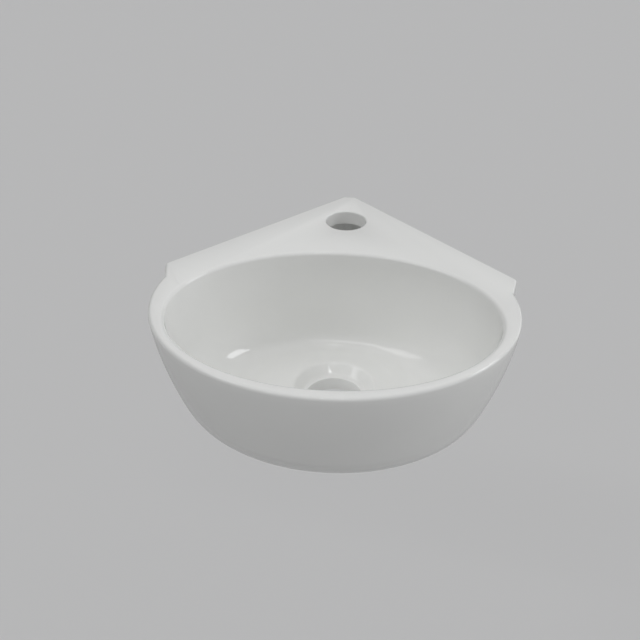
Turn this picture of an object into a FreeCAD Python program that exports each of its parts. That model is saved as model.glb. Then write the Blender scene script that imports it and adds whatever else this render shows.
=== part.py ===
import FreeCAD, Part
import math
import os
import Sketcher
from FreeCAD import Placement, Rotation, Vector

# Small wall-hung corner basin with its two wall fixings.
#
# The origin is the corner where the two walls meet, at the level of the rim. +Z is up and -Y points
# out of the corner into the room, so the walls run along (1, -1) and (-1, -1). A "reach" is a
# distance out of the corner (a reach of 100 is y = -100), and a "depth" is a distance below the rim.
# All sizes are in millimetres.

DRIVING_SIZES = [
    # plan of the deck and rim
    ("corner_cut", 6.0, "reach of the flat that clears the room corner"),
    ("wing_half", 141.5, "half of the width across the two wing tips"),
    ("wing_return", 163.0, "reach at which a wing's end turns back into the rim"),
    ("wing_taper", 4.6, "how far a wing's end has come in where it turns back"),
    ("wing_root", 40.0, "how far a wing's end face runs back into the bowl"),
    ("rim_half", 140.6, "half of the rim's width"),
    ("rim_centre", 188.5, "reach of the rim's widest line"),
    ("rim_front", 305.3, "reach of the front of the rim"),
    ("rim_back", 71.7, "reach of the back of the rim's oval, under the deck"),
    ("rim_side_radius", 102.5, "radius of the rim's two sides"),
    ("deck_thick", 12.0, "thickness of the deck"),
    ("rim_round", 3.0, "round of the rim's outer top edge"),
    ("mouth_round", 3.5, "round of the bowl's top edge"),
    ("tap_edge", 1.0, "bevel round the tap hole"),
    # bowl
    ("mouth_half", 125.5, "half of the mouth's width"),
    ("mouth_centre", 204.0, "reach of the mouth's widest line"),
    ("mouth_front", 294.5, "reach of the mouth's front"),
    ("mouth_back", 113.5, "reach of the mouth's back"),
    ("mouth_side_radius", 72.5, "radius of the mouth's two sides"),
    ("bowl_deep", 90.0, "depth of the bowl's floor"),
    ("bowl_lean_side", 19.0, "how far the bowl's sides lean in over that depth"),
    ("bowl_lean_front", 16.0, "how far its front leans in"),
    ("bowl_lean_back", 1.5, "how far its back leans in"),
    ("bowl_sweep_side", 40.0, "radius that turns its sides into the floor"),
    ("bowl_sweep_front", 36.0, "radius that turns its front into the floor"),
    ("bowl_sweep_back", 13.0, "radius that turns its back into the floor"),
    ("bowl_wall", 9.5, "thickness of the wall behind the bowl"),
    # outer shell
    ("shell_deep", 105.0, "depth of the shell's flat base"),
    ("shell_lean_side", 29.7, "how far the shell's sides lean in over that depth"),
    ("shell_lean_front", 23.4, "how far its front leans in"),
    ("shell_lean_back", 20.0, "how far its back leans in"),
    ("shell_sweep_side", 23.5, "radius that turns its sides into the base"),
    ("shell_sweep_front", 37.5, "radius that turns its front into the base"),
    ("shell_sweep_back", 20.0, "radius that turns its back into the base"),
    # wall flanges and the space under the deck
    ("flange_deep", 72.0, "depth of the wall flanges"),
    ("flange_thick", 10.0, "thickness of the wall flanges"),
    ("flange_sweep", 46.0, "radius of a flange's lower outer corner"),
    ("space_end", 150.0, "distance along the wall at which the space under the deck ends"),
    # tap hole and waste
    ("tap_reach", 55.0, "reach of the tap hole"),
    ("tap_bore", 35.0, "diameter of the tap hole"),
    ("waste_reach", 177.0, "reach of the waste hole"),
    ("waste_bore", 46.0, "diameter of the waste hole"),
    ("seat_bore", 52.0, "diameter of the flat seat round the waste hole"),
    ("dish_bore", 71.0, "diameter of the dish round that seat"),
    ("dish_deep", 9.0, "depth of the seat below the bowl's floor"),
    ("boss_bore", 76.0, "diameter of the boss under the waste hole"),
    ("boss_deep", 111.0, "depth of the boss's lower face"),
    # wall fixings
    ("fix_along", 95.0, "distance of a fixing from the room corner along its wall"),
    ("fix_deep", 52.0, "depth of a fixing"),
    ("fix_bore", 16.0, "diameter of the hole in the flange"),
    ("bolt_dia", 7.96, "diameter of the bolt's machine thread"),
    ("bolt_inside", 32.0, "length of the bolt on the room side of the wall"),
    ("bolt_wood_long", 48.0, "length of the bolt inside the wall"),
    ("bolt_wood_dia", 6.8, "diameter of its wood thread"),
    ("shank_in_plug", 5.0, "how far the machine thread runs into the plug"),
    ("plug_dia", 12.0, "diameter of the wall plug"),
    ("plug_long", 50.0, "length of the wall plug"),
    ("plug_bore", 7.0, "bore of the wall plug"),
    ("bush_dia", 15.6, "diameter of the bush's sleeve"),
    ("collar_dia", 24.0, "diameter of the bush's collar"),
    ("collar_thick", 3.0, "thickness of the bush's collar"),
    ("sleeve_short", 0.5, "how far the bush's sleeve stops short of the wall"),
    ("clear_bore", 8.4, "bore of the bush and the washer"),
    ("washer_dia", 20.0, "diameter of the washer"),
    ("washer_thick", 2.0, "thickness of the washer"),
    ("nut_flats", 13.0, "width of the nut across its flats"),
    ("nut_thick", 6.5, "thickness of the nut"),
    ("nut_bore", 8.0, "bore of the nut"),
]

doc = FreeCAD.newDocument("CornerBasin")
sheet = doc.addObject("Spreadsheet::Sheet", "Sizes")
for row, (alias, value, meaning) in enumerate(DRIVING_SIZES, start=1):
    sheet.set(f"A{row}", meaning)
    sheet.set(f"B{row}", str(value))
    sheet.setAlias(f"B{row}", alias)
doc.recompute()
SIZE_NAMES = {alias for alias, _, _ in DRIVING_SIZES}


def from_sheet(expression):
    """Write each size named in an expression as a reference to the sheet."""
    words = str(expression).replace("(", "( ").replace(")", " )").split()
    return " ".join(f"Sizes.{word}" if word in SIZE_NAMES else word for word in words)


def value_of(expression):
    """Work an expression out, for the first shape of a sketch."""
    return float(sheet.evalExpression(from_sheet(expression)))


# ---- sketches -------------------------------------------------------------------------------------

def new_sketch(body, name, role, shift=None, turn_deg=0.0):
    """A sketch on one of the body's own planes, shifted along its normal and turned about its upright."""
    sketch = body.newObject("Sketcher::SketchObject", name)
    plane = next(item for item in body.Origin.OriginFeatures if item.Role == role)
    sketch.AttachmentSupport = [(plane, "")]
    sketch.MapMode = "FlatFace"
    sketch.AttachmentOffset = Placement(Vector(), Rotation(Vector(0, 1, 0), turn_deg))
    if shift is not None:
        sketch.setExpression("AttachmentOffset.Base.z", from_sheet(shift))
    return sketch


def bind(sketch, kind, *references, size):
    """Add a dimension whose value comes from the sheet."""
    index = sketch.addConstraint(Sketcher.Constraint(kind, *references, abs(value_of(size))))
    sign = "-1 * " if value_of(size) < 0 else ""
    sketch.setExpression(f"Constraints[{index}]", f"{sign}({from_sheet(size)})")


def pin(sketch, geometry, point, x, y):
    """Hold a point at an x and y given as expressions."""
    for kind, size, axis in (("DistanceX", x, -2), ("DistanceY", y, -1)):
        value = value_of(size)
        if abs(value) < 1e-9:
            sketch.addConstraint(Sketcher.Constraint("PointOnObject", geometry, point, axis))
        elif value > 0:
            bind(sketch, kind, -1, 1, geometry, point, size=size)
        else:
            bind(sketch, kind, geometry, point, -1, 1, size=size)


def line(sketch, start, end):
    """A line between two points given as expressions, not yet held."""
    ends = [Vector(value_of(x), value_of(y), 0) for x, y in (start, end)]
    return sketch.addGeometry(Part.LineSegment(*ends), False)


def join(sketch, first, first_point, second, second_point):
    sketch.addConstraint(Sketcher.Constraint("Coincident", first, first_point, second, second_point))


def outline(sketch, points):
    """A closed outline of straight lines through points given as expressions."""
    edges = [line(sketch, start, end) for start, end in zip(points, points[1:] + points[:1])]
    for edge, after in zip(edges, edges[1:] + edges[:1]):
        join(sketch, edge, 2, after, 1)
    for edge, (x, y) in zip(edges, points):
        pin(sketch, edge, 1, x, y)


def circle(sketch, x, y, diameter):
    centre = Vector(value_of(x), value_of(y), 0)
    ring = sketch.addGeometry(Part.Circle(centre, Vector(0, 0, 1), value_of(diameter) / 2), False)
    bind(sketch, "Diameter", ring, size=diameter)
    pin(sketch, ring, 3, x, y)


# ---- features -------------------------------------------------------------------------------------

def pad(body, sketch, length, down=False):
    feature = body.newObject("PartDesign::Pad", f"{sketch.Name}_pad")
    feature.Profile = sketch
    feature.Reversed = down
    feature.setExpression("Length", from_sheet(length))
    return feature


def cut(body, sketch, length, forwards=False, both_ways=False):
    """Cut a sketch into the body and make sure that it took something away."""
    doc.recompute()
    before = body.Shape.Volume
    feature = body.newObject("PartDesign::Pocket", f"{sketch.Name}_cut")
    feature.Profile = sketch
    feature.Reversed = forwards
    feature.Midplane = both_ways
    feature.setExpression("Length", from_sheet(length))
    doc.recompute()
    assert body.Shape.Volume < before - 1.0, f"{sketch.Name} cuts nothing"
    return feature


def turned(body, sketch, kind="PartDesign::Revolution"):
    """Turn a profile once round its own upright axis."""
    feature = body.newObject(kind, f"{sketch.Name}_turned")
    feature.Profile = sketch
    feature.ReferenceAxis = (sketch, ["V_Axis"])
    feature.Angle = 360
    return feature


def rounded(body, name, radius, wanted):
    """Round the edges of the body that a test picks out."""
    doc.recompute()
    picked = [f"Edge{i}" for i, edge in enumerate(body.Shape.Edges, start=1) if wanted(edge)]
    assert picked, f"{name} finds no edge"
    before = body.Tip
    feature = body.newObject("PartDesign::Fillet", name)
    feature.Base = (before, picked)
    feature.setExpression("Radius", from_sheet(radius))
    doc.recompute()
    assert feature.isValid() and feature.Shape.isValid(), f"{name} fails"
    return feature


def middle(edge):
    return edge.valueAt((edge.FirstParameter + edge.LastParameter) / 2)


def is_upright(edge):
    first, last = edge.firstVertex().Point, edge.lastVertex().Point
    return abs(first.x - last.x) < 1e-4 and abs(first.y - last.y) < 1e-4


def is_level(edge, z):
    box = edge.BoundBox
    return abs(box.ZMin - z) < 1e-3 and abs(box.ZMax - z) < 1e-3


# ---- the casting ----------------------------------------------------------------------------------

def end_radius(half, side_radius, deep):
    """Radius of an oval's front or back arc, which runs tangent into its two side arcs."""
    across = f"( {half} - {side_radius} )"
    return f"( ( {across} ^ 2 + {deep} ^ 2 - {side_radius} ^ 2 ) / ( 2 * ( {deep} - {side_radius} ) ) )"


def end_share(oval, end):
    """How pointed an oval's end is. It stays the same at every depth, so its arcs keep their angles."""
    deep = f"abs( {oval}_{end} - {oval}_centre )"
    return f"( ( {deep} - {oval}_side_radius ) / ( {oval}_half - {oval}_side_radius ) )"


def oval_arcs(sketch, oval, half, front, back):
    """An oval of four tangent arcs through a half width and the reach of its front and back."""
    front_share, back_share = end_share(oval, "front"), end_share(oval, "back")
    shares = f"( {front_share} + {back_share} )"
    side_radius = f"( ( {front} - {back} - {half} * {shares} ) / ( 2 - {shares} ) )"
    centre = f"( {front} - {side_radius} - ( {half} - {side_radius} ) * {front_share} )"
    front_radius = end_radius(half, side_radius, f"( {front} - {centre} )")
    back_radius = end_radius(half, side_radius, f"( {centre} - {back} )")
    front_centre, back_centre = f"( {front} - {front_radius} )", f"( {back} + {back_radius} )"
    x, y = value_of(f"{half} - {side_radius}"), -value_of(centre)
    front_turn = math.atan2(-value_of(front_centre) - y, x)
    back_turn = math.atan2(y + value_of(back_centre), x)

    def arc(x, y, radius, start, end):
        ring = Part.Circle(Vector(x, y, 0), Vector(0, 0, 1), value_of(radius))
        return sketch.addGeometry(Part.ArcOfCircle(ring, start, end), False)

    right = arc(x, y, side_radius, -front_turn, back_turn)
    back_arc = arc(0, -value_of(back_centre), back_radius, back_turn, math.pi - back_turn)
    left = arc(-x, y, side_radius, math.pi - back_turn, math.pi + front_turn)
    front_arc = arc(0, -value_of(front_centre), front_radius, math.pi + front_turn, 2 * math.pi - front_turn)
    for side, piece in ((1, right), (-1, left)):
        pin(sketch, piece, 3, f"{side} * ( {half} - {side_radius} )", f"-1 * {centre}")
        bind(sketch, "Radius", piece, size=side_radius)
    for first, second in ((right, back_arc), (back_arc, left), (left, front_arc), (front_arc, right)):
        sketch.addConstraint(Sketcher.Constraint("Tangent", first, 2, second, 1))
    bind(sketch, "DistanceY", front_arc, 3, -1, 1, size=front_centre)
    bind(sketch, "DistanceY", back_arc, 3, -1, 1, size=back_centre)


def stacked_ovals(body, oval, stations):
    """A solid drawn through an oval at each station, with a straight band between each two."""
    sections = []
    for number, (depth, side, front, back) in enumerate(stations):
        sketch = new_sketch(body, f"{oval}_station_{number}", "XY_Plane", shift=f"-1 * {depth}")
        oval_arcs(sketch, oval, f"( {oval}_half - {side} )", f"( {oval}_front - {front} )",
                  f"( {oval}_back + {back} )")
        sections.append(sketch)
    loft = body.newObject("PartDesign::AdditiveLoft", f"{oval}_walls")
    loft.Profile = sections[0]
    loft.Sections = sections[1:]
    loft.Ruled = True
    doc.recompute()
    return loft


def edge_stations(radius, outwards=False):
    """Stations of a top edge's quarter round, drawn as three flats. A mouth's edge flares outwards."""
    sign = "-1 * " if outwards else ""
    stations = []
    for angle in (11.25, 33.75, 56.25, 78.75):
        depth = f"( {radius} * ( 1 - cos( {angle} ) / cos( 11.25 ) ) )"
        inset = f"( {sign}{radius} * ( 1 - cos( {90 - angle} ) / cos( 11.25 ) ) )"
        stations.append((depth, inset, inset, inset))
    return stations


def wall_stations(form, widest_sweep, upper, flats):
    """Stations down a leaning wall, then round the sweep that turns it into the floor."""
    deep = f"{form}_deep"
    depths = [f"( {share} * ( {deep} - {widest_sweep} ) )" for share in upper]
    for flat in range(1, flats + 1):
        depths.append(f"( {deep} - {widest_sweep} * ( 1 - sin( {90 * flat / flats} ) ) )")

    def inset(depth, direction):
        lean, sweep = f"{form}_lean_{direction}", f"{form}_sweep_{direction}"
        into_sweep = f"max( {sweep} - {deep} + {depth} ; 0 )"
        return f"( {lean} * ( {depth} / {deep} ) ^ 1.5 + {sweep} - sqrt( {sweep} ^ 2 - {into_sweep} ^ 2 ) )"

    return [(depth, inset(depth, "side"), inset(depth, "front"), inset(depth, "back")) for depth in depths]


def shell_form():
    """The outside of the bowl: a rounded rim and leaning walls, swept round into a flat base."""
    body = doc.addObject("PartDesign::Body", "shell_form")
    walls = wall_stations("shell", "shell_sweep_front", (0.35, 0.7, 1), 8)
    stacked_ovals(body, "rim", edge_stations("rim_round") + walls)
    return body


def bowl_form():
    """The hollow of the bowl: a wide sweep into the floor at the front and sides, a tight one behind."""
    body = doc.addObject("PartDesign::Body", "bowl_form")
    walls = wall_stations("bowl", "bowl_sweep_side", (0.5, 1), 8)
    stacked_ovals(body, "mouth", edge_stations("mouth_round", outwards=True) + walls)
    return body


def flange_form():
    """The deck behind the bowl with the two wall flanges, as one block that is hollowed later."""
    body = doc.addObject("PartDesign::Body", "flange_form")
    end_x = "( wing_half - wing_taper )"
    root_x = "( wing_half - wing_root )"
    root_y = "-1 * ( wing_return + wing_root )"
    right = [
        ("corner_cut", "-1 * corner_cut"),
        ("wing_half", "-1 * wing_half"),
        (end_x, "-1 * wing_return"),
        (root_x, root_y),
    ]
    left = [(f"-1 * {x}", y) for x, y in reversed(right)]
    sketch = new_sketch(body, "flanges", "XY_Plane")
    outline(sketch, right + left)
    pad(body, sketch, "flange_deep", down=True)
    end_half = value_of(end_x)
    rounded(body, "wing_tip_rounds", "rim_round",
            lambda edge: is_upright(edge) and abs(middle(edge).x) > end_half - 0.01)
    for side, name in ((1, "right"), (-1, "left")):
        sweep_flange_corner(body, side, name)
    root = -value_of("wing_return")
    rounded(body, "flange_edge_round", "rim_round",
            lambda edge: is_level(edge, 0.0) and middle(edge).y > root - 2)
    return body


def sweep_flange_corner(body, side, name):
    """Take the lower outer corner off a flange with a quarter circle."""
    inner_x = f"{side} * ( wing_half - flange_sweep )"
    outer_x = f"{side} * wing_half"
    high = "-1 * ( flange_deep - flange_sweep )"
    low = "-1 * flange_deep"
    sketch = new_sketch(body, f"flange_corner_{name}", "XZ_Plane")
    down_edge = line(sketch, (outer_x, high), (outer_x, low))
    in_edge = line(sketch, (outer_x, low), (inner_x, low))
    centre = Vector(value_of(inner_x), value_of(high), 0)
    start, end = (-90, 0) if side > 0 else (180, 270)
    ring = Part.Circle(centre, Vector(0, 0, 1), value_of("flange_sweep"))
    arc = sketch.addGeometry(Part.ArcOfCircle(ring, math.radians(start), math.radians(end)), False)
    low_end, high_end = (1, 2) if side > 0 else (2, 1)
    join(sketch, down_edge, 2, in_edge, 1)
    join(sketch, in_edge, 2, arc, low_end)
    join(sketch, down_edge, 1, arc, high_end)
    pin(sketch, down_edge, 1, outer_x, high)
    pin(sketch, down_edge, 2, outer_x, low)
    pin(sketch, in_edge, 2, inner_x, low)
    bind(sketch, "Radius", arc, size="flange_sweep")
    cut(body, sketch, "4 * rim_front", both_ways=True)


def space_under_deck(body):
    """The hollow behind the bowl, open below, where the tap's tail and the wall fixings are reached."""
    wall_x = "( space_end * sqrt( 0.5 ) )"
    inside = "( flange_thick * sqrt( 0.5 ) )"
    mouth_radius = end_radius("mouth_half", "mouth_side_radius", "( mouth_centre - mouth_back )")
    back_radius = f"( {mouth_radius} + bowl_wall )"
    back_centre = f"-1 * mouth_back - {mouth_radius}"
    sketch = new_sketch(body, "space", "XY_Plane", shift="-1 * deck_thick")
    ring = Part.Circle(Vector(0, value_of(back_centre), 0), Vector(0, 0, 1), value_of(back_radius))
    bowl_back = sketch.addGeometry(Part.ArcOfCircle(ring, math.radians(60), math.radians(120)), False)
    bind(sketch, "Radius", bowl_back, size=back_radius)
    pin(sketch, bowl_back, 3, "0", back_centre)
    apex_y = f"-2 * {inside}"
    corner_y = f"-1 * ( {wall_x} + {inside} )"
    edges = {}
    for side, arc_end in ((1, 1), (-1, 2)):
        corner_x = f"{side} * ( {wall_x} - {inside} )"
        flange_edge = line(sketch, ("0", apex_y), (corner_x, corner_y))
        end_edge = line(
            sketch,
            (corner_x, corner_y),
            (f"{side} * ( {wall_x} - 2.4 * {inside} )", f"-1 * ( {wall_x} + 2.4 * {inside} )"),
        )
        join(sketch, flange_edge, 2, end_edge, 1)
        join(sketch, end_edge, 2, bowl_back, arc_end)
        pin(sketch, flange_edge, 2, corner_x, corner_y)
        sketch.addConstraint(Sketcher.Constraint("Perpendicular", flange_edge, end_edge))
        edges[side] = flange_edge
    join(sketch, edges[1], 1, edges[-1], 1)
    pin(sketch, edges[1], 1, "0", apex_y)
    cut(body, sketch, "2 * shell_deep")


def waste_boss_form():
    body = doc.addObject("PartDesign::Body", "boss_form")
    boss = new_sketch(body, "waste_boss", "XY_Plane", shift="-1 * boss_deep")
    circle(boss, "0", "-1 * waste_reach", "boss_bore")
    pad(body, boss, "boss_deep - bowl_deep - 2")
    return body


def waste_outlet(body):
    """The dish, the seat and the waste hole, turned down through the bowl's floor."""
    floor = "-1 * bowl_deep"
    seat = "-1 * ( bowl_deep + dish_deep )"
    below = "-1 * ( boss_deep + 1 )"
    sketch = new_sketch(body, "waste", "XZ_Plane", shift="waste_reach")
    outline(sketch, [
        ("0", "1 - bowl_deep"),
        ("dish_bore / 2", "1 - bowl_deep"),
        ("dish_bore / 2", floor),
        ("seat_bore / 2", seat),
        ("waste_bore / 2", seat),
        ("waste_bore / 2", below),
        ("0", below),
    ])
    turned(body, sketch, "PartDesign::Groove")


def holes(body):
    """The tap hole down through the deck, and a fixing hole through each wall flange."""
    tap = new_sketch(body, "tap_hole", "XY_Plane")
    circle(tap, "0", "-1 * tap_reach", "tap_bore")
    cut(body, tap, "deck_thick + 1")
    for side, name in ((1, "right"), (-1, "left")):
        sketch = new_sketch(body, f"fixing_hole_{name}", "XZ_Plane", turn_deg=-45 * side)
        circle(sketch, f"{side} * fix_along", "-1 * fix_deep", "fix_bore")
        cut(body, sketch, "flange_thick + 2", forwards=True)


def bevel_tap_hole(body):
    """Glazed china has no sharp edge that a hand can reach."""
    doc.recompute()
    tap_bore = value_of("tap_bore")
    picked = [f"Edge{i}" for i, edge in enumerate(body.Shape.Edges, start=1)
              if is_level(edge, 0.0) and abs(edge.BoundBox.XLength - tap_bore) < 0.01]
    before = body.Tip
    feature = body.newObject("PartDesign::Chamfer", "tap_hole_bevel")
    feature.Base = (before, picked)
    feature.setExpression("Size", from_sheet("tap_edge"))
    doc.recompute()
    assert feature.isValid() and feature.Shape.isValid(), "the tap hole's bevel fails"


def basin_body():
    outside = doc.addObject("Part::MultiFuse", "outside_form")
    outside.Shapes = [flange_form(), shell_form(), waste_boss_form()]
    outside.Refine = True
    doc.recompute()
    hollowed = doc.addObject("Part::Cut", "hollowed_form")
    hollowed.Base = outside
    hollowed.Tool = bowl_form()
    hollowed.Refine = True
    doc.recompute()
    body = doc.addObject("PartDesign::Body", "basin_body")
    body.BaseFeature = hollowed
    doc.recompute()
    space_under_deck(body)
    waste_outlet(body)
    holes(body)
    bevel_tap_hole(body)
    return body


# ---- the wall fixings -----------------------------------------------------------------------------

def fixing_body(name, side):
    """A body whose own axis is a fixing's axis: its origin lies on the wall and +Z runs into the wall."""
    body = doc.addObject("PartDesign::Body", name)
    body.Label = name
    along = "fix_along * sqrt( 0.5 )"
    body.Placement = Placement(Vector(), Rotation(Vector(0, 0, 1), Vector(side, 1, 0)))
    body.setExpression("Placement.Base.x", from_sheet(f"{side} * {along}"))
    body.setExpression("Placement.Base.y", from_sheet(f"-1 * {along}"))
    body.setExpression("Placement.Base.z", from_sheet("-1 * fix_deep"))
    return body


def turned_body(name, side, profile):
    """A fixing's piece turned from a half profile of radius and height."""
    body = fixing_body(name, side)
    sketch = new_sketch(body, f"{name}_profile", "XZ_Plane")
    outline(sketch, profile)
    turned(body, sketch)
    doc.recompute()
    return body


def hanger_bolt(name, side):
    """Machine thread through the flange and wood thread in the plug."""
    machine, wood = "bolt_dia / 2", "bolt_wood_dia / 2"
    return turned_body(name, side, [
        ("0", "-1 * bolt_inside"),
        (machine, "-1 * bolt_inside"),
        (machine, "shank_in_plug"),
        (wood, "shank_in_plug"),
        (wood, "bolt_wood_long"),
        ("0", "bolt_wood_long"),
    ])


def wall_plug(name, side):
    """A nylon plug with a wide mouth for the bolt's shank."""
    mouth = "( bolt_dia / 2 + 0.2 )"
    return turned_body(name, side, [
        (mouth, "0"),
        ("plug_dia / 2", "0"),
        ("plug_dia / 2", "plug_long"),
        ("plug_bore / 2", "plug_long"),
        ("plug_bore / 2", "shank_in_plug + 0.5"),
        (mouth, "shank_in_plug + 0.5"),
    ])


def collar_bush(name, side):
    """A nylon sleeve through the flange with a collar on its room side."""
    collar_low = "-1 * ( flange_thick + collar_thick )"
    return turned_body(name, side, [
        ("clear_bore / 2", collar_low),
        ("collar_dia / 2", collar_low),
        ("collar_dia / 2", "-1 * flange_thick"),
        ("bush_dia / 2", "-1 * flange_thick"),
        ("bush_dia / 2", "-1 * sleeve_short"),
        ("clear_bore / 2", "-1 * sleeve_short"),
    ])


def washer(name, side):
    high = "-1 * ( flange_thick + collar_thick )"
    low = f"{high} - washer_thick"
    return turned_body(name, side, [
        ("clear_bore / 2", low),
        ("washer_dia / 2", low),
        ("washer_dia / 2", high),
        ("clear_bore / 2", high),
    ])


def nut(name, side):
    """A hexagon nut on the room side of the washer."""
    body = fixing_body(name, side)
    high = "flange_thick + collar_thick + washer_thick"
    corner = "nut_flats / sqrt( 3 )"
    sketch = new_sketch(body, f"{name}_hexagon", "XY_Plane", shift=f"-1 * ( {high} + nut_thick )")
    outline(sketch, [
        (corner, "0"),
        (f"{corner} / 2", "nut_flats / 2"),
        (f"-1 * {corner} / 2", "nut_flats / 2"),
        (f"-1 * {corner}", "0"),
        (f"-1 * {corner} / 2", "-1 * nut_flats / 2"),
        (f"{corner} / 2", "-1 * nut_flats / 2"),
    ])
    pad(body, sketch, "nut_thick")
    bore = new_sketch(body, f"{name}_bore", "XY_Plane", shift=f"-1 * ( {high} )")
    circle(bore, "0", "0", "nut_bore")
    cut(body, bore, "2 * nut_thick")
    doc.recompute()
    return body


# ---- build and write ------------------------------------------------------------------------------

parts = [basin_body()]
for side, name in ((-1, "left"), (1, "right")):
    parts += [
        hanger_bolt(f"hanger_bolt_{name}", side),
        wall_plug(f"wall_plug_{name}", side),
        collar_bush(f"collar_bush_{name}", side),
        washer(f"washer_{name}", side),
        nut(f"nut_{name}", side),
    ]
doc.recompute()
for item in doc.Objects:
    assert "Invalid" not in item.State and "Error" not in item.State, f"{item.Name}: {item.State}"
os.makedirs("parts", exist_ok=True)
for part in parts:
    assert not part.Shape.isNull() and part.Shape.isValid(), part.Label
    part.Shape.exportStep(f"parts/{part.Label}.step")
    box = part.Shape.BoundBox
    print(part.Label, f"{part.Shape.Volume / 1000:.1f} cm3", len(part.Shape.Solids), "solid", box)
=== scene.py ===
import bpy
from math import cos, pi, radians, sin, sqrt
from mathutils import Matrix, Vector


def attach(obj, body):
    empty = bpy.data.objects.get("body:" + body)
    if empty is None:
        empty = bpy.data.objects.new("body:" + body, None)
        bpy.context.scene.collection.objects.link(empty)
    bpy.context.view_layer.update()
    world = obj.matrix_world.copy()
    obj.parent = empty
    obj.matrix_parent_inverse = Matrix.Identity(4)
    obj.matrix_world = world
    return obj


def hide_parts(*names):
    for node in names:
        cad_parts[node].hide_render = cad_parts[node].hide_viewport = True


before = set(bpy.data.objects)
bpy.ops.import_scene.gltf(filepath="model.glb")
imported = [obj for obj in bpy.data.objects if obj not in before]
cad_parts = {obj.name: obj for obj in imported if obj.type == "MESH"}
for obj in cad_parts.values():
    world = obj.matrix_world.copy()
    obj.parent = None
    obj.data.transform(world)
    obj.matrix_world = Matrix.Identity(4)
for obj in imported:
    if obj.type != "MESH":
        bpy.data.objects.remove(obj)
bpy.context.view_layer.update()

mm = 0.001            # sizes in the pieces' dictionaries are millimetres, and Blender works in metres
touching = 1e-6       # places closer than this, in metres, are one place
longEdge = 0.01       # an edge that runs further than this, in metres, is not part of a rounding
slant = sqrt(0.5)     # the walls stand at 45 degrees to X and Y
hair = 0.01           # how far a cutter stands past the face that it opens


# shared ways of working

def deselectEverything():
    if bpy.context.mode != "OBJECT":
        bpy.ops.object.mode_set(mode="OBJECT")
    bpy.ops.object.select_all(action="DESELECT")


def selectOnly(thing):
    deselectEverything()
    thing.select_set(True)
    bpy.context.view_layer.objects.active = thing


def addModifier(thing, kind, **settings):
    selectOnly(thing)
    modifier = thing.modifiers.new(kind.title(), kind)
    for setting, value in settings.items():
        setattr(modifier, setting, value)
    bpy.ops.object.modifier_apply(modifier=modifier.name)


def cutWith(thing, cutter, operation="DIFFERENCE"):
    # cuts, or joins with UNION and trims with INTERSECT, and uses the other form up
    addModifier(thing, "BOOLEAN", object=cutter, operation=operation, solver="EXACT")
    bpy.data.objects.remove(cutter)


def weld(thing, distance):
    # joins points closer than a distance in metres, and turns every face outwards
    selectOnly(thing)
    bpy.ops.object.mode_set(mode="EDIT")
    bpy.ops.mesh.select_all(action="SELECT")
    bpy.ops.mesh.remove_doubles(threshold=distance)
    bpy.ops.mesh.normals_make_consistent(inside=False)
    bpy.ops.object.mode_set(mode="OBJECT")


def addBlock(centre, lengths):
    # a block about its centre, in metres
    deselectEverything()
    bpy.ops.mesh.primitive_cube_add(size=1, location=centre)
    block = bpy.context.object
    bpy.ops.object.mode_set(mode="EDIT")
    bpy.ops.transform.resize(value=lengths, center_override=block.location)
    bpy.ops.object.mode_set(mode="OBJECT")
    bpy.ops.object.transform_apply(location=True, rotation=False, scale=False)
    return block


def pickEdges(thing, wanted):
    # selects the edges whose two ends pass a test
    bpy.ops.mesh.select_mode(type="EDGE")
    bpy.ops.mesh.select_all(action="DESELECT")
    bpy.ops.object.mode_set(mode="OBJECT")
    for edge in thing.data.edges:
        first, second = (thing.data.vertices[i].co for i in edge.vertices)
        edge.select = wanted(first, second)
    bpy.ops.object.mode_set(mode="EDIT")


def roundEdges(thing, radius, steps, wanted):
    selectOnly(thing)
    bpy.ops.object.mode_set(mode="EDIT")
    pickEdges(thing, wanted)
    bpy.ops.mesh.bevel(offset=radius * mm, offset_type="OFFSET", segments=steps, profile=0.5,
                       clamp_overlap=False)
    bpy.ops.object.mode_set(mode="OBJECT")


def isUpright(p, q):
    return abs(p.z - q.z) > longEdge


def sliceOff(thing, point, normal):
    # cuts away what lies on the normal's side of a plane and closes the cut
    selectOnly(thing)
    bpy.ops.object.mode_set(mode="EDIT")
    bpy.ops.mesh.select_all(action="SELECT")
    bpy.ops.mesh.bisect(plane_co=point, plane_no=normal, use_fill=True, clear_outer=True)
    bpy.ops.object.mode_set(mode="OBJECT")


def ovalStack(name, rings, sides):
    # a closed form drawn up from an oval, ring by ring, each a half width, half depth, reach and height
    deselectEverything()
    stations = [[size * mm for size in ring] for ring in rings]
    halfWidth, halfDepth, reach, height = stations[0]
    bpy.ops.mesh.primitive_circle_add(vertices=sides, radius=1.0, fill_type="NGON", location=(0, 0, 0))
    stack = bpy.context.object
    stack.name = name
    bpy.ops.object.mode_set(mode="EDIT")
    bpy.ops.mesh.select_all(action="SELECT")
    bpy.ops.transform.resize(value=(halfWidth, halfDepth, 1), center_override=(0, 0, 0))
    bpy.ops.transform.translate(value=(0, -reach, height))
    for wide, deep, out, level in stations[1:]:
        bpy.ops.mesh.extrude_region_move(
            TRANSFORM_OT_translate={"value": (0, reach - out, level - height)})
        bpy.ops.transform.resize(value=(wide / halfWidth, deep / halfDepth, 1),
                                 center_override=(0, -out, level))
        halfWidth, halfDepth, reach, height = wide, deep, out, level
    bpy.ops.mesh.select_all(action="SELECT")
    bpy.ops.mesh.normals_make_consistent(inside=False)
    bpy.ops.object.mode_set(mode="OBJECT")
    return stack


def turnedPiece(name, profile, sides=64, reach=0):
    # a solid turned about an upright axis from pairs of radius and height
    return ovalStack(name, [(radius, radius, reach, height) for radius, height in profile], sides)


def roundStation(step, steps):
    # a quarter round as shares of its radius: how far from the side and how far from the top
    turn = step / steps * pi / 2
    return 1 - sin(turn), 1 - cos(turn)


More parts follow.
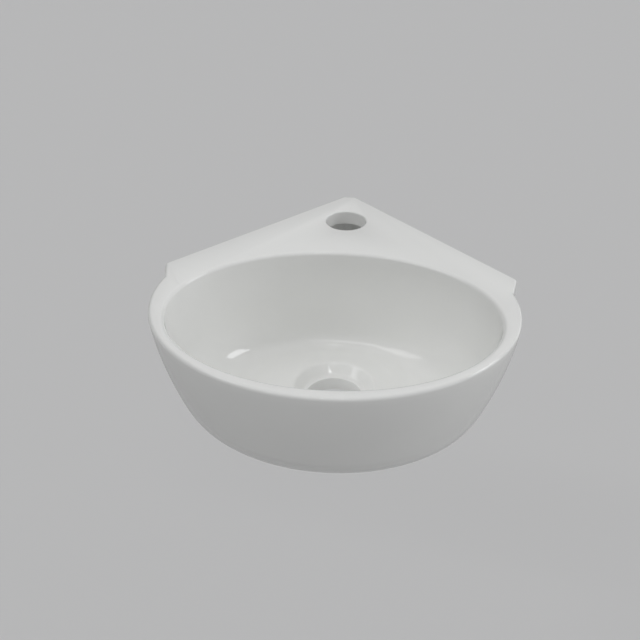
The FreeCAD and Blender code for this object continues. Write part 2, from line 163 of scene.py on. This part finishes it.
def flaredMouth(halfWidth, halfDepth, reach, radius, steps):
    # the top rings of a cutter that leaves a round edge: it starts above the face and narrows
    # through a quarter round, whose first step is short so that no face lies in the top face
    firstStep, above = 0.4, 4
    rings = []
    for step in (firstStep, *range(1, steps + 1)):
        out, down = roundStation(step, steps)
        oval = (halfWidth + radius * out, halfDepth + radius * out, reach)
        if step == firstStep:
            rings.append((*oval, above))
        rings.append((*oval, -radius * down))
    return rings


# the basin, one casting

basin = {
    # the wings and flanges along the two walls, and the deck between them
    "wingHalf": 141.5, "wingReturn": 163.0, "wingTaper": 4.6, "wingRoot": 40.0, "cornerCut": 6.0,
    "flangeDeep": 72.0, "flangeThick": 10.0, "flangeSweep": 46.0, "sweepSteps": 20, "deckThick": 12.0,
    # the rim and the shell below it; leans and sweeps are side and front
    "rimHalf": 140.6, "rimReach": 188.5, "rimFront": 305.3, "rimRound": 3.0, "rimSteps": 6,
    "shellDeep": 105.0, "shellLean": (23.6, 18.6), "shellSweep": (23.5, 37.5),
    "baseReach": 178.0, "reachPower": 3,
    # the bowl; leans and sweeps are side, front and back
    "mouthHalf": 125.5, "mouthFront": 294.5, "mouthBack": 113.5, "mouthRound": 3.5,
    "bowlDeep": 90.0, "bowlLean": (19.0, 16.0, 1.5), "bowlSweep": (40.0, 36.0, 13.0), "leanPower": 1.5,
    "floorShares": (0.35, 0.7, 1.0),
    # the dish and the waste hole; roundings are how far in or out of an edge, and how far below it
    "wasteReach": 177.0, "wasteHole": 46.0, "seat": 52.0, "dish": 71.0, "dishDeep": 9.0,
    "dishShoulder": ((1.2, 0.15), (2.3, 0.7), (3.2, 1.6)), "dishFoot": ((2.2, 1.6), (1.2, 0.7), (0, 0.1)),
    "seatFlat": 1.0, "holeRound": ((0.8, 0), (0.25, 0.25), (0, 0.8)), "holeCut": 40.0,
    "boss": 76.0, "bossDeep": 111.0, "bossTop": 94.0, "bossRound": 2.0, "bossSteps": 5,
    # the space under the deck, and the curved back of the bowl's wall in it
    "spaceWide": 400.0, "spaceReach": 140.0, "spaceDeep": 133.2, "spaceEnd": 150.0,
    "spaceCorner": 7.0, "spaceTop": 4.0, "wallBackRadius": 169.0, "wallBackReach": 104.0,
    # holes
    "tapReach": 55.0, "tapHole": 35.0, "tapRound": 1.4, "tapSteps": 5, "tapPast": 5.0,
    "fixAlong": 95.0, "fixDeep": 52.0, "fixHole": 16.0,
    # how finely it is made
    "sides": 256, "rings": 26, "wallBackSides": 360, "bossSides": 128, "tapSides": 96, "fixSides": 64,
    "weld": 0.02, "smoothAngle": 32,
}


def comeIn(lean, sweep, bottom, depth):
    # how far a wall has come in at a depth: it leans in slowly, then sweeps round into the floor
    above = sweep - min(bottom - depth, sweep)
    leaned = lean * (depth / basin["bowlDeep"]) ** basin["leanPower"]
    return leaned + sweep - sqrt(max(sweep ** 2 - above ** 2, 0))


def wallDepths(bottom, sweep, start):
    # depths of the rings: even down the wall, then even round the sweep
    count = basin["rings"]
    bend = bottom - sweep
    straight = [start + (bend - start) * i / (count // 2) for i in range(1, count // 2 + 1)]
    turned = [bend + sweep * sin(pi / 2 * i / count) for i in range(1, count + 1)]
    return straight + turned


def buildShell():
    b = basin
    rings = []
    for step in range(b["rimSteps"] + 1):
        out, down = roundStation(step, b["rimSteps"])
        inset = b["rimRound"] * out
        rings.append((b["rimHalf"] - inset, b["rimFront"] - b["rimReach"] - inset,
                      b["rimReach"], -b["rimRound"] * down))
    for depth in wallDepths(b["shellDeep"], b["shellSweep"][1], b["rimRound"]):
        side, front = (comeIn(b["shellLean"][i], b["shellSweep"][i], b["shellDeep"], depth)
                       for i in range(2))
        moved = (depth / b["shellDeep"]) ** b["reachPower"]
        reach = b["rimReach"] + (b["baseReach"] - b["rimReach"]) * moved
        rings.append((b["rimHalf"] - side, b["rimFront"] - front - reach, reach, -depth))
    return ovalStack("basin", rings, b["sides"])


def buildWings():
    # deck, wings and flanges as one block, cut to the corner and to the wings' slanting ends
    b = basin
    corner, deep = b["cornerCut"] * mm, b["flangeDeep"] * mm
    tip, end = b["wingHalf"] * mm, (b["wingHalf"] - b["wingTaper"]) * mm
    back = b["wingReturn"] * mm
    rootHalf, rootReach = (b["wingHalf"] - b["wingRoot"]) * mm, (b["wingReturn"] + b["wingRoot"]) * mm
    wings = addBlock((0, -(corner + rootReach) / 2, -deep / 2), (2 * tip, rootReach - corner, deep))
    for side in (1, -1):
        sliceOff(wings, (0, 0, 0), (side, 1, 0))   # against the wall
        sliceOff(wings, (side * tip, -tip, 0), (side * (back - tip), end - tip, 0))   # the wing's end
        # the return from the end to the bowl's side
        sliceOff(wings, (side * end, -back, 0), (side * (rootReach - back), rootHalf - end, 0))

    def atEnd(p, q):
        return all(abs(place.x) > end - touching for place in (p, q))

    def lowerOuter(p, q):
        # the long bottom edge of a wing's end face
        isLow = all(abs(place.z + deep) < touching for place in (p, q))
        return isLow and atEnd(p, q) and abs(p.y - q.y) > longEdge
    roundEdges(wings, b["flangeSweep"], b["sweepSteps"], lowerOuter)

    def topOrTip(p, q):
        # the top's outline, but for the front edge inside the bowl, and the ends' upright edges
        isTop = abs(p.z) < touching and abs(q.z) < touching
        isInside = (p.y + q.y) / 2 < -rootReach + 10 * touching
        return (isTop and not isInside) or (atEnd(p, q) and isUpright(p, q))
    roundEdges(wings, b["rimRound"], b["rimSteps"], topOrTip)
    return wings


def buildSpaceCutter():
    # the hollow under the deck, open below, with the bowl's back wall as its front side
    b = basin
    top, low = -b["deckThick"] * mm, -b["spaceDeep"] * mm
    reach = b["spaceReach"] * mm
    space = addBlock((0, -reach / 2, (top + low) / 2), (b["spaceWide"] * mm, reach, top - low))
    inside = b["flangeThick"] * sqrt(2) * mm
    end = b["spaceEnd"] * slant * mm
    for side in (1, -1):
        sliceOff(space, (0, -inside, 0), (side, 1, 0))
        sliceOff(space, (side * end, -end, 0), (side, -1, 0))

    def atTop(p, q):
        return abs(p.z - top) < touching and abs(q.z - top) < touching
    roundEdges(space, b["spaceCorner"], 5, isUpright)
    roundEdges(space, b["spaceTop"], 4, atTop)
    bpy.ops.mesh.primitive_cylinder_add(
        vertices=b["wallBackSides"], radius=b["wallBackRadius"] * mm, depth=0.5,
        location=(0, -(b["wallBackReach"] + b["wallBackRadius"]) * mm, 0))
    cutWith(space, bpy.context.object)
    return space


def buildBowlCutter():
    b = basin
    rings = flaredMouth(b["mouthHalf"], (b["mouthFront"] - b["mouthBack"]) / 2,
                        (b["mouthFront"] + b["mouthBack"]) / 2, b["mouthRound"], b["rimSteps"])
    for depth in wallDepths(b["bowlDeep"], b["bowlSweep"][0], b["mouthRound"]):
        side, front, back = (comeIn(b["bowlLean"][i], b["bowlSweep"][i], b["bowlDeep"], depth)
                             for i in range(3))
        nearEnd, farEnd = b["mouthBack"] + back, b["mouthFront"] - front
        rings.append((b["mouthHalf"] - side, (farEnd - nearEnd) / 2, (farEnd + nearEnd) / 2, -depth))
    wide, deep, out, floor = rings[-1]
    shoulder, seat, hole = b["dish"] / 2, b["seat"] / 2, b["wasteHole"] / 2
    for share in b["floorShares"]:   # the flat floor runs in to the dish
        rings.append((wide + (shoulder - wide) * share, deep + (shoulder - deep) * share,
                      out + (b["wasteReach"] - out) * share, floor))
    # the dish: a soft shoulder, a slope and a flat seat, then the hole
    profile = [(shoulder - inwards, below) for inwards, below in b["dishShoulder"]]
    profile += [(seat + outwards, b["dishDeep"] - above) for outwards, above in b["dishFoot"]]
    profile += [(seat - b["seatFlat"], b["dishDeep"])]
    profile += [(hole + outwards, b["dishDeep"] + below) for outwards, below in b["holeRound"]]
    profile += [(hole, b["holeCut"])]
    for radius, below in profile:
        rings.append((radius, radius, b["wasteReach"], -(b["bowlDeep"] + below)))
    return ovalStack("bowlCutter", rings, b["sides"])


def buildTapCutter():
    b = basin
    radius, reach = b["tapHole"] / 2, b["tapReach"]
    rings = flaredMouth(radius, radius, reach, b["tapRound"], b["tapSteps"])
    rings.append((radius, radius, reach, -(b["deckThick"] + b["tapPast"])))
    return ovalStack("tapCutter", rings, b["tapSides"])


def buildFixingCutter(side):
    b = basin
    deselectEverything()
    along = b["fixAlong"] * slant * mm
    bpy.ops.mesh.primitive_cylinder_add(
        vertices=b["fixSides"], radius=b["fixHole"] / 2 * mm, depth=3 * b["flangeThick"] * mm,
        location=(side * along, -along, -b["fixDeep"] * mm), rotation=(radians(90), 0, -side * radians(45)))
    return bpy.context.object


def buildBoss():
    # the round foot that the waste fitting tightens against
    b = basin
    radius = b["boss"] / 2
    profile = [(radius, -b["bossTop"]), (radius, -(b["bossDeep"] - b["bossRound"]))]
    for step in range(1, b["bossSteps"] + 1):
        out, down = roundStation(step, b["bossSteps"])
        profile.append((radius - b["bossRound"] * down, -(b["bossDeep"] - b["bossRound"] * out)))
    return turnedPiece("boss", profile, b["bossSides"], b["wasteReach"])


def buildBasin():
    body = buildShell()
    cutWith(body, buildWings(), "UNION")
    cutWith(body, buildSpaceCutter())
    cutWith(body, buildBoss(), "UNION")
    cutWith(body, buildBowlCutter())
    cutWith(body, buildTapCutter())
    for side in (1, -1):
        cutWith(body, buildFixingCutter(side))
    weld(body, basin["weld"] * mm)
    bpy.ops.object.shade_smooth_by_angle(angle=radians(basin["smoothAngle"]))
    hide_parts("basin_body")
    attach(body, "root")
    print("basin:", len(body.data.polygons), "faces")
    return body


# the wall fixings, each along +Z with the wall at 0, then turned to its place

bolt = {
    # the machine thread, from inside the room to the shank in the plug
    "radius": 3.98, "root": 3.35, "pitch": 1.25, "inside": 32.0, "shank": 5.0,
    "endRadius": 3.05, "endChamfer": 1.1, "neckRadius": 3.15, "neckChamfer": 0.7,
    # the wood thread
    "woodRadius": 3.4, "woodRoot": 2.3, "woodPitch": 2.8, "woodEnd": 48.0, "woodOverlap": 0.5,
    "point": 9.0, "pointRadius": 0.25, "pointShort": 0.02,
    "clearRadius": 4.2,   # of the holes that it passes through
    "trimPast": 0.2, "threadSteps": 28, "smoothAngle": 50,
}


def threadedRod(name, crest, root, pitch, low, high):
    # one pitch of the thread, drawn as two edges and screwed up the rod, then cut square at both ends
    deselectEverything()
    bpy.ops.mesh.primitive_plane_add(size=mm, location=(0, 0, 0))
    rod = bpy.context.object
    rod.name = name
    bpy.ops.object.mode_set(mode="EDIT")
    bpy.ops.mesh.select_mode(type="VERT")
    bpy.ops.mesh.select_all(action="SELECT")
    bpy.ops.mesh.merge(type="CENTER")
    bpy.ops.transform.translate(value=(root * mm, 0, (low - 1.5 * pitch) * mm))
    for outwards in (crest - root, root - crest):
        bpy.ops.mesh.extrude_region_move(
            TRANSFORM_OT_translate={"value": (outwards * mm, 0, pitch / 2 * mm)})
    bpy.ops.object.mode_set(mode="OBJECT")
    turns = int((high - low) / pitch) + 4   # enough to run past both ends
    addModifier(rod, "SCREW", axis="Z", angle=2 * pi, screw_offset=pitch * mm, iterations=turns,
                steps=bolt["threadSteps"], render_steps=bolt["threadSteps"])
    weld(rod, 2 * touching)
    sliceOff(rod, (0, 0, low * mm), (0, 0, -1))
    sliceOff(rod, (0, 0, high * mm), (0, 0, 1))
    return rod


def makeBolt():
    b = bolt
    machine = threadedRod("hangerBolt", b["radius"], b["root"], b["pitch"], -b["inside"], b["shank"])
    wide = b["radius"] + b["trimPast"]
    cutWith(machine, turnedPiece("boltEnds", (
        (b["endRadius"], -b["inside"] - hair), (wide, -b["inside"] + b["endChamfer"]),
        (wide, b["shank"] - b["neckChamfer"]), (b["neckRadius"], b["shank"] + hair))), "INTERSECT")
    wood = threadedRod("woodThread", b["woodRadius"], b["woodRoot"], b["woodPitch"],
                       b["shank"] - b["woodOverlap"], b["woodEnd"])
    wide = b["woodRadius"] + b["trimPast"]
    cutWith(wood, turnedPiece("woodPoint", (
        (wide, b["shank"] - 1), (wide, b["woodEnd"] - b["point"]),
        (b["pointRadius"], b["woodEnd"] - b["pointShort"]))), "INTERSECT")
    cutWith(machine, wood, "UNION")
    return machine


plug = {
    "radius": 6.0, "groove": 5.5, "long": 50.0, "lip": 2.5,
    "ribPitch": 4, "ribsEnd": 44, "ribRadius": 5.9, "ribRise": 2.6, "ribTop": 3.1,
    "nose": ((5.5, 44.6), (5.5, 47.0), (4.7, 50.0)),   # radius and height
    "bore": 3.5, "boltRoom": 0.2, "boltRoomLong": 0.5, "mouthFlare": (0.3, 0.1), "mouthDeep": 0.6,
    "slit": 1.3, "slitLong": 30.0, "slitMiddle": 28.0, "slitAcross": 20.0,
    "smoothAngle": 35,
}


def makePlug():
    # a ribbed plug, slit in four over its gripping length
    p = plug
    ribs = [(p["radius"], 0), (p["radius"], p["lip"])]
    for start in range(p["ribPitch"], p["ribsEnd"], p["ribPitch"]):
        ribs += [(p["groove"], start), (p["ribRadius"], start + p["ribRise"]),
                 (p["ribRadius"], start + p["ribTop"])]
    ribs += p["nose"]
    body = turnedPiece("wallPlug", ribs)
    room = bolt["radius"] + p["boltRoom"]
    roomEnd = bolt["shank"] + p["boltRoomLong"]
    cutWith(body, turnedPiece("plugBore", (
        (room + p["mouthFlare"][0], -1), (room + p["mouthFlare"][1], p["mouthDeep"]), (room, roomEnd),
        (p["bore"], roomEnd + 0.1), (p["bore"], p["long"] + 1))))
    for wide, deep in ((p["slit"], p["slitAcross"]), (p["slitAcross"], p["slit"])):
        slot = addBlock((0, 0, p["slitMiddle"] * mm), (wide * mm, deep * mm, p["slitLong"] * mm))
        cutWith(body, slot)
    return body


bush = {
    "radius": 7.8, "short": 0.5, "sleeveChamfer": (0.6, 0.8), "collarRadius": 12.0, "collarThick": 3.0,
    "edge": (0.9, 0.26), "backChamfer": 0.3, "boreChamfer": 0.5, "sides": 96, "smoothAngle": 35,
}


def rolledEdge(radius, height, size, middle):
    # three points round an edge: where the rounding starts, its middle and where it ends
    return (radius - size, height), (radius - middle, height + middle), (radius, height + size)


def boreOut(piece, low, high, chamfer):
    # the clear hole for the bolt, chamfered at its lower mouth
    radius = bolt["clearRadius"]
    cutWith(piece, turnedPiece("bore", (
        (radius + chamfer, low - 1), (radius + chamfer, low - hair), (radius, low + chamfer),
        (radius, high + 1)), bush["sides"]))


def makeBush():
    b = bush
    back = -basin["flangeThick"]   # the flange's room side, which the collar's back lies on
    face = back - b["collarThick"]
    body = turnedPiece("collarBush", (
        *rolledEdge(b["collarRadius"], face, *b["edge"]),
        (b["collarRadius"], back - b["backChamfer"]), (b["collarRadius"] - b["backChamfer"], back),
        (b["radius"], back), (b["radius"], -b["short"] - b["sleeveChamfer"][1]),
        (b["radius"] - b["sleeveChamfer"][0], -b["short"])), b["sides"])
    boreOut(body, face, 0, b["boreChamfer"])
    return body


washer = {
    "radius": 10.0, "thick": 2.0, "edge": (0.5, 0.15), "burr": 0.1, "boreChamfer": 0.4, "smoothAngle": 35,
}


def makeWasher():
    # stamped, so one face has rolled edges and the other is sharp
    w = washer
    high = -(basin["flangeThick"] + bush["collarThick"])
    low = high - w["thick"]
    disc = turnedPiece("washer", (
        *rolledEdge(w["radius"], low, *w["edge"]),
        (w["radius"], high - w["burr"]), (w["radius"] - w["burr"], high)), bush["sides"])
    boreOut(disc, low, high, w["boreChamfer"])
    return disc


nut = {
    "flats": 13.0, "thick": 6.5, "bore": 4.0, "boreChamfer": 0.5, "boreFlare": 1.5,
    "chamferIn": 0.25, "cornerPast": 0.05, "chamferSlope": 0.577,   # a chamfer of 30 degrees
    "sides": 96, "smoothAngle": 30,
}


def makeNut():
    # hexagon stock with both faces chamfered to a circle
    n = nut
    high = -(basin["flangeThick"] + bush["collarThick"] + washer["thick"])
    low = high - n["thick"]
    overCorners = n["flats"] / sqrt(3)
    deselectEverything()
    bpy.ops.mesh.primitive_cylinder_add(
        vertices=6, radius=overCorners * mm, depth=n["thick"] * mm,
        location=(0, 0, (low + high) / 2 * mm), rotation=(0, 0, radians(30)))
    body = bpy.context.object
    body.name = "nut"
    bpy.ops.object.transform_apply(location=True, rotation=True, scale=False)
    flat, corner = n["flats"] / 2 - n["chamferIn"], overCorners + n["cornerPast"]
    drop = (corner - flat) * n["chamferSlope"]
    past = hair / 10
    cutWith(body, turnedPiece("nutChamfer", (
        (flat, low - past), (corner, low + drop), (corner, high - drop), (flat, high + past)),
        n["sides"]), "INTERSECT")
    bore, mouth, flare = n["bore"], n["bore"] + n["boreChamfer"], n["bore"] + n["boreFlare"]
    cutWith(body, turnedPiece("nutBore", (
        (flare, low - 1), (mouth, low - hair), (bore, low + n["boreChamfer"]),
        (bore, high - n["boreChamfer"]), (mouth, high + hair), (flare, high + 1)), n["sides"]))
    return body


def buildFixings(finishes):
    # each piece is modelled once, and a copy of it goes to either side
    along = basin["fixAlong"] * slant * mm
    for make, node, slot, angle in (
            (makeBolt, "hanger_bolt", "bolt_steel", bolt["smoothAngle"]),
            (makePlug, "wall_plug", "plug_nylon", plug["smoothAngle"]),
            (makeBush, "collar_bush", "bush_nylon", bush["smoothAngle"]),
            (makeWasher, "washer", "washer_steel", washer["smoothAngle"]),
            (makeNut, "nut", "bolt_steel", nut["smoothAngle"])):
        first = make()
        label = first.name
        selectOnly(first)
        bpy.ops.object.duplicate(linked=False)
        for piece, side, word in ((first, 1, "right"), (bpy.context.object, -1, "left")):
            piece.rotation_mode = "QUATERNION"
            piece.rotation_quaternion = Vector((0, 0, 1)).rotation_difference(Vector((side, 1, 0)))
            piece.location = (side * along, -along, -basin["fixDeep"] * mm)
            selectOnly(piece)
            bpy.ops.object.transform_apply(location=True, rotation=True, scale=True)
            bpy.ops.object.shade_smooth_by_angle(angle=radians(angle))
            piece.name = label + word.title()
            piece.data.materials.clear()
            piece.data.materials.append(finishes[slot])
            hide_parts(node + "_" + word)
            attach(piece, "root")
        print("fixings:", node, len(first.data.polygons), "faces each")


# materials: each of these adds to a node tree and gives back the socket that it ends in

def newMaterial(name):
    material = bpy.data.materials.new(name)
    material.use_nodes = True
    tree = material.node_tree
    tree.nodes.clear()
    out = tree.nodes.new("ShaderNodeOutputMaterial")
    shader = tree.nodes.new("ShaderNodeBsdfPrincipled")
    tree.links.new(shader.outputs["BSDF"], out.inputs["Surface"])
    return material, shader


def feed(tree, value, socket):
    # gives a socket another node's output, or else a plain number or colour
    if isinstance(value, bpy.types.NodeSocket):
        tree.links.new(value, socket)
    else:
        socket.default_value = value


def addMath(tree, operation, *values):
    node = tree.nodes.new("ShaderNodeMath")
    node.operation = operation
    for value, socket in zip(values, node.inputs):
        feed(tree, value, socket)
    return node.outputs[0]


def addDot(tree, place, axis):
    # how far a place or a direction lies along an axis
    node = tree.nodes.new("ShaderNodeVectorMath")
    node.operation = "DOT_PRODUCT"
    feed(tree, place, node.inputs[0])
    feed(tree, axis, node.inputs[1])
    return node.outputs["Value"]


def addNoise(tree, scale, detail):
    # a noise pattern on the piece's own coordinates, in metres
    place = tree.nodes.new("ShaderNodeTexCoord")
    noise = tree.nodes.new("ShaderNodeTexNoise")
    feed(tree, place.outputs["Object"], noise.inputs["Vector"])
    feed(tree, scale, noise.inputs["Scale"])
    feed(tree, detail, noise.inputs["Detail"])
    return noise.outputs["Fac"]


def addRange(tree, value, fromRange, toRange=(0, 1), smooth=False):
    spread = tree.nodes.new("ShaderNodeMapRange")
    spread.interpolation_type = "SMOOTHSTEP" if smooth else "LINEAR"
    for name, amount in zip(("From Min", "From Max", "To Min", "To Max"), (*fromRange, *toRange)):
        spread.inputs[name].default_value = amount
    feed(tree, value, spread.inputs["Value"])
    return spread.outputs["Result"]


def addMix(tree, share, first, second):
    # blends two colours by a mask
    blend = tree.nodes.new("ShaderNodeMix")
    blend.data_type = "RGBA"
    feed(tree, share, blend.inputs[0])
    feed(tree, first, blend.inputs[6])
    feed(tree, second, blend.inputs[7])
    return blend.outputs[2]


def addBump(tree, height, strength, distance, after=None):
    bump = tree.nodes.new("ShaderNodeBump")
    feed(tree, strength, bump.inputs["Strength"])
    feed(tree, distance, bump.inputs["Distance"])
    feed(tree, height, bump.inputs["Height"])
    if after is not None:
        feed(tree, after, bump.inputs["Normal"])
    return bump.outputs["Normal"]


def buildGrain():
    # soft patches and fine grain, which every finish here uses at its own scale
    group = bpy.data.node_groups.new("surfaceGrain", "ShaderNodeTree")
    for name, direction in (("Patch Scale", "INPUT"), ("Grain Scale", "INPUT"),
                            ("Patches", "OUTPUT"), ("Grain", "OUTPUT")):
        group.interface.new_socket(name=name, in_out=direction, socket_type="NodeSocketFloat")
    given, result = group.nodes.new("NodeGroupInput"), group.nodes.new("NodeGroupOutput")
    for scale, detail, out in (("Patch Scale", 3, "Patches"), ("Grain Scale", 4, "Grain")):
        noise = addNoise(group, given.outputs[scale], detail)
        feed(group, addRange(group, noise, (0.3, 0.7)), result.inputs[out])
    return group


def addGrain(tree, grainGroup, patchScale, grainScale):
    node = tree.nodes.new("ShaderNodeGroup")
    node.node_tree = grainGroup
    node.inputs["Patch Scale"].default_value = patchScale
    node.inputs["Grain Scale"].default_value = grainScale
    return node.outputs["Patches"], node.outputs["Grain"]


glaze = {
    "white": (0.868, 0.873, 0.855, 1.0), "thin": (0.850, 0.854, 0.838, 1.0), "refraction": 1.6,
    "gloss": (0.02, 0.035), "glossScale": 40, "wave": 0.00012, "waveScale": 38, "waveStrength": 0.35,
    "patchScale": 14, "grainScale": 900,
    # where it is bare, from this far to this far in front of a wall, in metres
    "bareFrom": (-0.0008, -0.0003), "bare": (0.66, 0.64, 0.59, 1.0), "barePale": (0.72, 0.70, 0.65, 1.0),
    "bareRough": 0.75, "bareGrain": 0.0003, "bareStrength": 0.6,
}


def buildGlaze(grainGroup):
    # white glaze, left bare on the two faces that stand against the walls
    g = glaze
    material, shader = newMaterial("whiteGlaze")
    tree = material.node_tree
    place = tree.nodes.new("ShaderNodeTexCoord").outputs["Object"]
    walls = [addRange(tree, addDot(tree, place, (side * slant, slant, 0)), g["bareFrom"], smooth=True)
             for side in (1, -1)]
    bare = addMath(tree, "MAXIMUM", *walls)
    tone, grain = addGrain(tree, grainGroup, g["patchScale"], g["grainScale"])
    white = addMix(tree, tone, g["white"], g["thin"])
    biscuit = addMix(tree, grain, g["bare"], g["barePale"])
    feed(tree, addMix(tree, bare, white, biscuit), shader.inputs["Base Color"])
    gloss = addRange(tree, addNoise(tree, g["glossScale"], 4), (0.3, 0.75), g["gloss"])
    feed(tree, addMath(tree, "MULTIPLY_ADD", bare, g["bareRough"], gloss), shader.inputs["Roughness"])
    waves = addBump(tree, addNoise(tree, g["waveScale"], 1), g["waveStrength"], g["wave"])
    roughness = addMath(tree, "MULTIPLY", grain, bare)
    relief = addBump(tree, roughness, g["bareStrength"], g["bareGrain"], after=waves)
    feed(tree, relief, shader.inputs["Normal"])
    shader.inputs["IOR"].default_value = g["refraction"]
    return material


hardware = {
    "boltZinc": {
        "tones": ((0.60, 0.61, 0.64, 1), (0.70, 0.69, 0.65, 1)), "metal": 1.0, "rough": (0.26, 0.42),
        "patchScale": 160, "grainScale": 2600, "grainHeight": 0.00004},
    "washerZinc": {
        "tones": ((0.66, 0.67, 0.70, 1), (0.74, 0.74, 0.71, 1)), "metal": 1.0, "rough": (0.22, 0.38),
        "patchScale": 120, "grainScale": 3200, "grainHeight": 0.00003},
    "plugNylon": {
        "tones": ((0.49, 0.51, 0.54, 1), (0.55, 0.57, 0.60, 1)), "metal": 0.0, "rough": (0.42, 0.55),
        "patchScale": 90, "grainScale": 1500, "grainHeight": 0.00006},
    "bushNylon": {
        "tones": ((0.82, 0.82, 0.77, 1), (0.88, 0.88, 0.85, 1)), "metal": 0.0, "rough": (0.36, 0.48),
        "patchScale": 90, "grainScale": 1500, "grainHeight": 0.00005},
}


def buildHardware(name, grainGroup):
    # a finish whose tone and shine both follow the same soft patches
    h = hardware[name]
    material, shader = newMaterial(name)
    tree = material.node_tree
    patches, grain = addGrain(tree, grainGroup, h["patchScale"], h["grainScale"])
    feed(tree, addMix(tree, patches, *h["tones"]), shader.inputs["Base Color"])
    feed(tree, addRange(tree, patches, (0, 1), h["rough"]), shader.inputs["Roughness"])
    feed(tree, addBump(tree, grain, 0.5, h["grainHeight"]), shader.inputs["Normal"])
    shader.inputs["Metallic"].default_value = h["metal"]
    return material


# studio

studio = {
    "floorDrop": 0.9, "floorSize": 40, "floorGrey": 0.62, "floorBounce": 0.50, "surround": 0.474,
    "cameraAt": (0.0422, -0.7540, 0.3619), "lookDown": 33.73, "turn": 5.33, "lens": 50, "sensor": 36,
    # the sky brightens from the horizon up, between these heights of a direction
    "horizon": 0.0, "overhead": 0.735, "skyHeights": (0.03, 0.9), "cool": (0.985, 0.99, 1.015, 1.0),
    # soft boxes: azimuth from -Y towards +X, elevation, half width, half height, brightness
    "softBoxes": ((93, 26, 0.21, 0.18, 3.7), (-70, 46, 0.24, 0.26, 1.5), (-12, 50, 0.48, 0.024, 7.0),
                  (100, 6, 1.30, 0.15, 1.4), (0, 79, 0.05, 0.05, 3.5)),
    "boxEdge": 0.85,   # the share of a half size at which a box starts to fade
}


def grey(level):
    return (level, level, level, 1)


def addSoftBox(tree, direction, azimuth, elevation, halfWide, halfTall, brightness):
    # lit where a direction, seen from straight ahead of the box, lies within its half sizes
    a, e = radians(azimuth), radians(elevation)
    forward = Vector((sin(a) * cos(e), -cos(a) * cos(e), sin(e)))
    across = Vector((cos(a), sin(a), 0))
    upright = across.cross(forward)
    ahead = addDot(tree, direction, forward)
    isAhead = addMath(tree, "GREATER_THAN", ahead, 0.05)
    distance = addMath(tree, "MAXIMUM", ahead, 0.001)
    light = addMath(tree, "MULTIPLY", isAhead, brightness)
    for axis, half in ((across, halfWide), (upright, halfTall)):
        aside = addMath(tree, "DIVIDE", addDot(tree, direction, axis), distance)
        fade = addRange(tree, addMath(tree, "ABSOLUTE", aside), (half * studio["boxEdge"], half), (1, 0),
                        smooth=True)
        light = addMath(tree, "MULTIPLY", light, fade)
    return light


def buildStudioLight():
    s = studio
    world = bpy.data.worlds.new("softStudio")
    world.use_nodes = True
    tree = world.node_tree
    background, out = tree.nodes["Background"], tree.nodes["World Output"]
    direction = tree.nodes.new("ShaderNodeTexCoord").outputs["Generated"]
    parts = tree.nodes.new("ShaderNodeSeparateXYZ")
    feed(tree, direction, parts.inputs[0])
    height = parts.outputs["Z"]
    light = addRange(tree, height, s["skyHeights"], (s["horizon"], s["overhead"]), smooth=True)
    for softBox in s["softBoxes"]:
        light = addMath(tree, "ADD", light, addSoftBox(tree, direction, *softBox))
    feed(tree, light, background.inputs["Strength"])
    feed(tree, addMix(tree, height, s["cool"], grey(1)), background.inputs["Color"])
    surround = tree.nodes.new("ShaderNodeBackground")   # what the camera sees past the floor's edge
    surround.inputs["Color"].default_value = grey(s["surround"])
    seen, blend = tree.nodes.new("ShaderNodeLightPath"), tree.nodes.new("ShaderNodeMixShader")
    for value, socket in zip((seen.outputs["Is Camera Ray"], background.outputs[0], surround.outputs[0]),
                             blend.inputs):
        feed(tree, value, socket)
    feed(tree, blend.outputs[0], out.inputs["Surface"])
    bpy.context.scene.world = world
    bpy.context.scene.view_settings.view_transform = "Standard"


def buildStudio():
    s = studio
    deselectEverything()
    bpy.ops.mesh.primitive_plane_add(size=s["floorSize"], location=(0, 0, -s["floorDrop"]))
    floor = bpy.context.object
    floor.name = "floor"
    paint, shader = newMaterial("floorPaint")
    tree = paint.node_tree
    # the floor shows pale, and throws less light up at the basin than it shows
    seen = tree.nodes.new("ShaderNodeLightPath").outputs["Is Camera Ray"]
    shown = addMix(tree, seen, grey(s["floorBounce"]), grey(s["floorGrey"]))
    feed(tree, shown, shader.inputs["Base Color"])
    shader.inputs["Roughness"].default_value = 1.0
    shader.inputs["Specular IOR Level"].default_value = 0.0
    floor.data.materials.append(paint)
    buildStudioLight()
    bpy.ops.object.camera_add(location=s["cameraAt"],
                              rotation=(radians(90 - s["lookDown"]), 0, radians(s["turn"])))
    camera = bpy.context.object
    camera.data.lens = s["lens"]
    camera.data.sensor_width = s["sensor"]
    camera.data.clip_start = 0.01
    bpy.context.scene.camera = camera


china = buildBasin()
grainGroup = buildGrain()
china.data.materials.clear()
china.data.materials.append(buildGlaze(grainGroup))
buildFixings({"bolt_steel": buildHardware("boltZinc", grainGroup),
              "washer_steel": buildHardware("washerZinc", grainGroup),
              "plug_nylon": buildHardware("plugNylon", grainGroup),
              "bush_nylon": buildHardware("bushNylon", grainGroup)})
print("finishes: glaze, zinc and nylon")
buildStudio()
print("studio: floor, light and camera")
